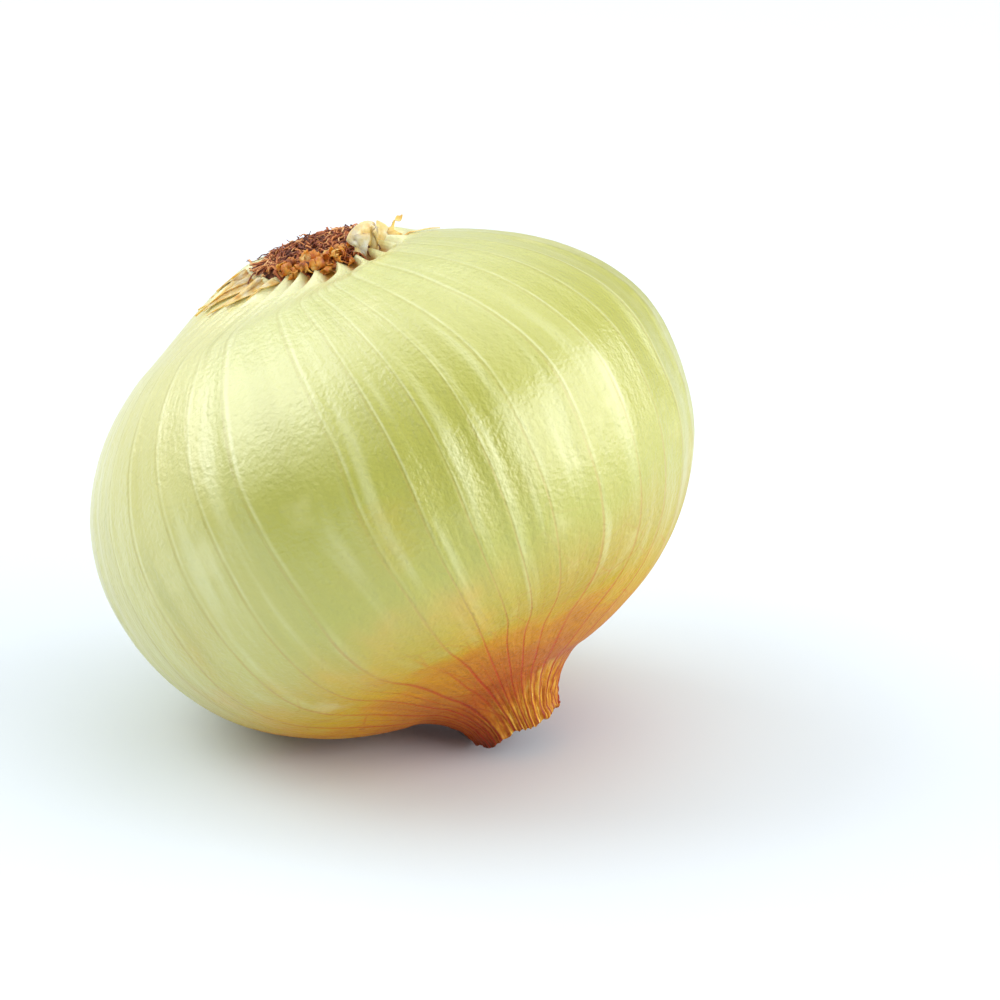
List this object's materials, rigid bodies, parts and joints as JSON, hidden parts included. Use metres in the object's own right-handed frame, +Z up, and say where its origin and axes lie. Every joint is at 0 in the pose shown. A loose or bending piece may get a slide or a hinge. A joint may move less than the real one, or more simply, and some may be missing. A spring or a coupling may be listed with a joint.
{
  "type": "onion",
  "caption": "Sweet onion lying on its belly: ribbed round bulb, brown root crown with scraps of dry skin, and a short pleated neck cut off ragged.",
  "frame": {"origin": "bottom centre of the onion's bounding box, on the surface that it lies on", "axes": "+Z up from the surface; +X the level direction in which the cut neck points; the bulb's own axis leans 29.65 degrees from the vertical in the XZ plane, root crown up and towards -X"},
  "size_m": [0.0916, 0.0948, 0.0815],
  "materials": {
    "flesh": "glossy pale green-yellow onion leaf with faint veins, orange-brown towards the neck",
    "dry_roots": "dry red-brown matted roots",
    "dry_skin": "thin cream to tan papery skin"
  },
  "bodies": {
    "root": {"bulb": "flesh", "root_crown": "dry_roots", "skin_streamer": "dry_skin", "skin_cup": "dry_skin", "skin_strip": "dry_skin", "skin_curl": "dry_skin"}
  },
  "joints": []
}
